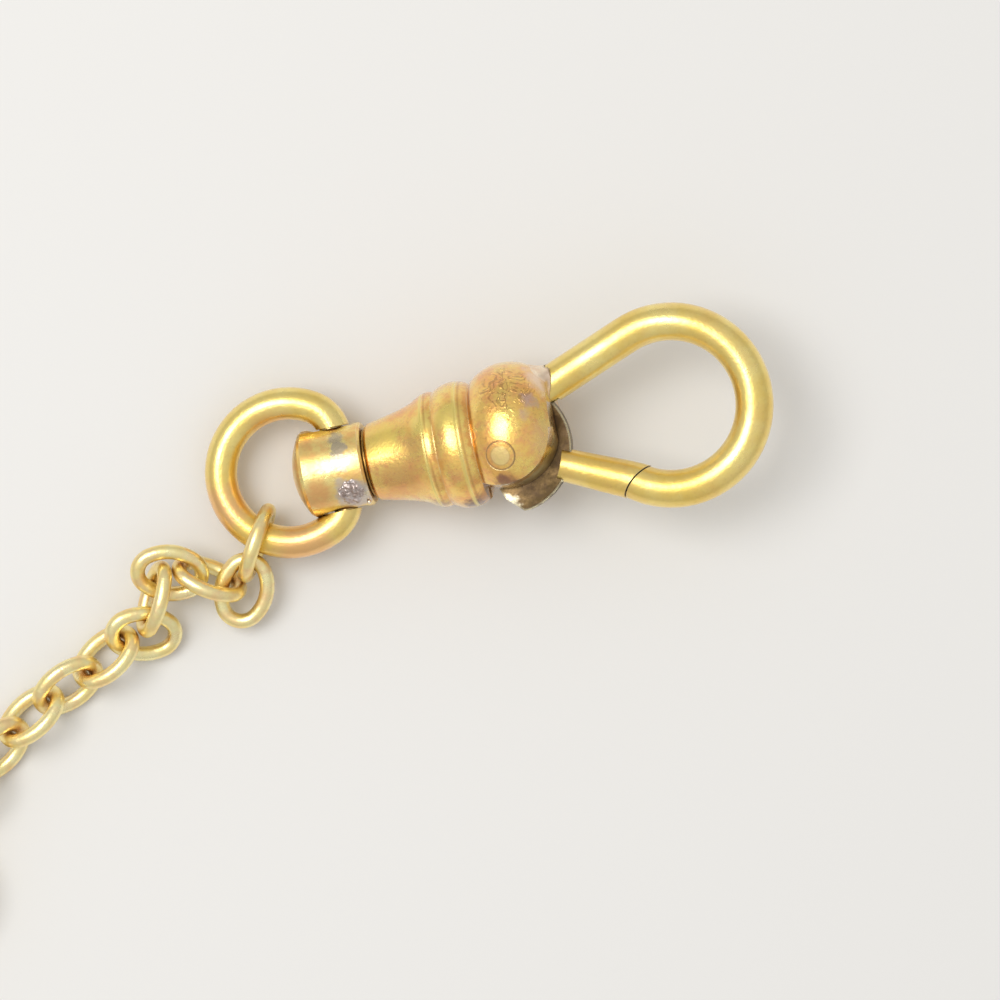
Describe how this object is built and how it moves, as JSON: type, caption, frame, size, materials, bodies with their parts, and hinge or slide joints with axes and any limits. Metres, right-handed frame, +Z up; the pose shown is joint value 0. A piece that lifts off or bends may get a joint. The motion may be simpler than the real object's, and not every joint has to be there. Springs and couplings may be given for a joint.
{
  "type": "swivel clasp",
  "caption": "Pocket watch chain swivel clasp: a wire hook with a sprung lever gate, a turned body, a turning barrel with a bail ring, and a short run of cable chain ending in a plain ring.",
  "frame": {"origin": "middle of the whole part's underside, where it lies on the table", "axes": "+X from the chain's end ring towards the hook, +Y across, +Z up from the table"},
  "size_m": [0.05, 0.0248, 0.0073],
  "materials": {
    "gold_wire": "polished",
    "worn_gold": "satin",
    "chain_gold": "polished",
    "tarnished_plate": "satin",
    "bush_brass": "satin",
    "pin_steel": "satin",
    "spring_steel": "satin"
  },
  "bodies": {
    "head": {"body_shell": "worn_gold", "hook": "gold_wire", "pivot_pin": "worn_gold", "end_bush": "bush_brass", "gate_spring": "spring_steel"},
    "gate": {"lever_plate": "tarnished_plate", "gate_arm": "gold_wire"},
    "swivel": {"swivel_barrel": "worn_gold", "swivel_post": "pin_steel", "swivel_washer": "bush_brass"},
    "bail": {"bail_ring": "gold_wire"},
    "joiner_link": {"joiner_link": "chain_gold"},
    "chain_link_01": {"chain_link_01": "chain_gold"},
    "chain_link_02": {"chain_link_02": "chain_gold"},
    "chain_link_03": {"chain_link_03": "chain_gold"},
    "chain_link_04": {"chain_link_04": "chain_gold"},
    "chain_link_05": {"chain_link_05": "chain_gold"},
    "chain_link_06": {"chain_link_06": "chain_gold"},
    "chain_link_07": {"chain_link_07": "chain_gold"},
    "chain_link_08": {"chain_link_08": "chain_gold"},
    "chain_link_09": {"chain_link_09": "chain_gold"},
    "chain_link_10": {"chain_link_10": "chain_gold"},
    "chain_link_11": {"chain_link_11": "chain_gold"},
    "end_ring": {"end_ring": "chain_gold"}
  },
  "joints": [
    {"name": "swivel_turn", "type": "hinge", "parent": "head", "child": "swivel", "pos_m": [0.00453, 0.00739, 0.00263], "axis": [0.9902, 0, 0.1399], "continuous": true},
    {"name": "gate_swing", "type": "hinge", "parent": "head", "child": "gate", "pos_m": [0.01157, 0.00645, 0.00362], "axis": [-0.1399, 0, 0.9902], "range_deg": [0, 20], "stiffness_Nm_per_rad": 0.002, "springref_deg": -11.46, "deforming": ["gate_spring"]},
    {"name": "bail_hinge", "type": "hinge", "parent": "swivel", "child": "bail", "pos_m": [0.00299, 0.00739, 0.00241], "axis": [0, 1, 0], "range_deg": [-100, 100]},
    {"name": "joiner_link_swing", "type": "hinge", "parent": "bail", "child": "joiner_link", "pos_m": [-0.00177, 0.00502, 0.00181], "axis": [0.7488, -0.6561, 0.0941], "range_deg": [-30, 40]},
    {"name": "chain_link_01_swing", "type": "hinge", "parent": "joiner_link", "child": "chain_link_01", "pos_m": [-0.00264, 0.00302, 0.00167], "axis": [-0.1061, -0.0794, 0.9912], "range_deg": [-38, 36]},
    {"name": "chain_link_02_swing", "type": "hinge", "parent": "chain_link_01", "child": "chain_link_02", "pos_m": [-0.00398, 0.00269, 0.00136], "axis": [-0.3295, -0.9129, -0.241], "range_deg": [-45, 6]},
    {"name": "chain_link_03_swing", "type": "hinge", "parent": "chain_link_02", "child": "chain_link_03", "pos_m": [-0.00584, 0.00412, 0.00165], "axis": [-0.2993, -0.3946, 0.8687], "range_deg": [-40, 32]},
    {"name": "chain_link_04_swing", "type": "hinge", "parent": "chain_link_03", "child": "chain_link_04", "pos_m": [-0.0076, 0.00322, 0.00168], "axis": [0.7416, -0.6056, -0.2886], "range_deg": [-4, 25]},
    {"name": "chain_link_05_swing", "type": "hinge", "parent": "chain_link_04", "child": "chain_link_05", "pos_m": [-0.00815, 0.00129, 0.0016], "axis": [0.2752, -0.285, 0.9182], "range_deg": [-45, 34]},
    {"name": "chain_link_06_swing", "type": "hinge", "parent": "chain_link_05", "child": "chain_link_06", "pos_m": [-0.00978, 0.00073, 0.00131], "axis": [-0.4169, 0.7581, 0.5015], "range_deg": [-30, 36]},
    {"name": "chain_link_07_swing", "type": "hinge", "parent": "chain_link_06", "child": "chain_link_07", "pos_m": [-0.01181, -0.00045, 0.00123], "axis": [-0.3359, 0.6767, -0.6552], "range_deg": [-45, 45]},
    {"name": "chain_link_08_swing", "type": "hinge", "parent": "chain_link_07", "child": "chain_link_08", "pos_m": [-0.01402, -0.00142, 0.00127], "axis": [-0.2988, 0.6409, 0.7071], "range_deg": [-45, 45]},
    {"name": "chain_link_09_swing", "type": "hinge", "parent": "chain_link_08", "child": "chain_link_09", "pos_m": [-0.01608, -0.00269, 0.00127], "axis": [0.3536, -0.6124, 0.7071], "range_deg": [-45, 45]},
    {"name": "chain_link_10_swing", "type": "hinge", "parent": "chain_link_09", "child": "chain_link_10", "pos_m": [-0.01798, -0.00418, 0.00127], "axis": [-0.4156, 0.5721, 0.7071], "range_deg": [-45, 45]},
    {"name": "chain_link_11_swing", "type": "hinge", "parent": "chain_link_10", "child": "chain_link_11", "pos_m": [-0.01964, -0.00594, 0.00127], "axis": [0.4912, -0.5086, 0.7071], "range_deg": [-45, 45]},
    {"name": "end_ring_swing", "type": "hinge", "parent": "chain_link_11", "child": "end_ring", "pos_m": [-0.02103, -0.00792, 0.00127], "axis": [0.5273, -0.412, -0.7431], "range_deg": [-20, 18]}
  ]
}
